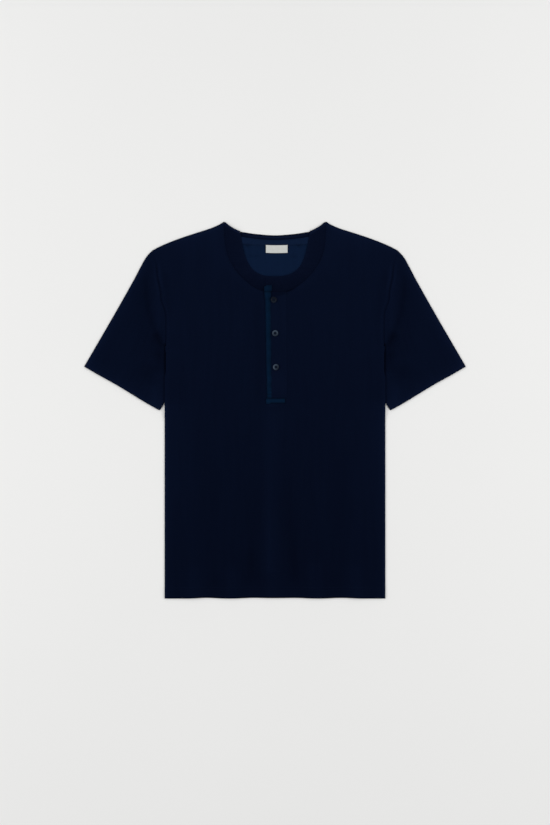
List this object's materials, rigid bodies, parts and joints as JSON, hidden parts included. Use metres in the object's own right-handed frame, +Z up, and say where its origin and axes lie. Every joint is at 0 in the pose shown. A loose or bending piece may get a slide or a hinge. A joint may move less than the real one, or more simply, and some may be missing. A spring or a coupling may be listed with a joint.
{
  "type": "henley shirt",
  "caption": "Short-sleeved henley shirt laid flat with its front up: wide rib neckband, buttoned placket with contrast tape, set-in sleeves and hemmed edges.",
  "frame": {"origin": "on the surface the shirt lies on, under the middle of its outline", "axes": "+X towards the wearer's left sleeve, which is the viewer's right, +Y from the hem to the neck, +Z up, away from the surface"},
  "size_m": [0.7212, 0.7102, 0.0071],
  "materials": {
    "navy_jersey": "very dark navy cotton jersey, matt",
    "navy_jersey_inside": "inside of the dark navy jersey, matt",
    "navy_rib": "very dark navy rib knit, matt",
    "blue_tape": "dark blue woven tape, slight sheen",
    "woven_label": "off-white woven label, bare",
    "button_polyester": "grey-blue polyester button, lightly polished"
  },
  "bodies": {
    "root": {"front": "navy_jersey", "back": "navy_jersey_inside", "sleeve_left": "navy_jersey", "sleeve_right": "navy_jersey", "neckband": "navy_rib", "under_placket": "navy_jersey", "over_placket": "navy_jersey", "placket_tape": "blue_tape", "placket_bar": "blue_tape", "neck_tape": "navy_jersey_inside", "label": "woven_label", "button_1": "button_polyester", "button_2": "button_polyester", "button_3": "button_polyester"}
  },
  "joints": []
}
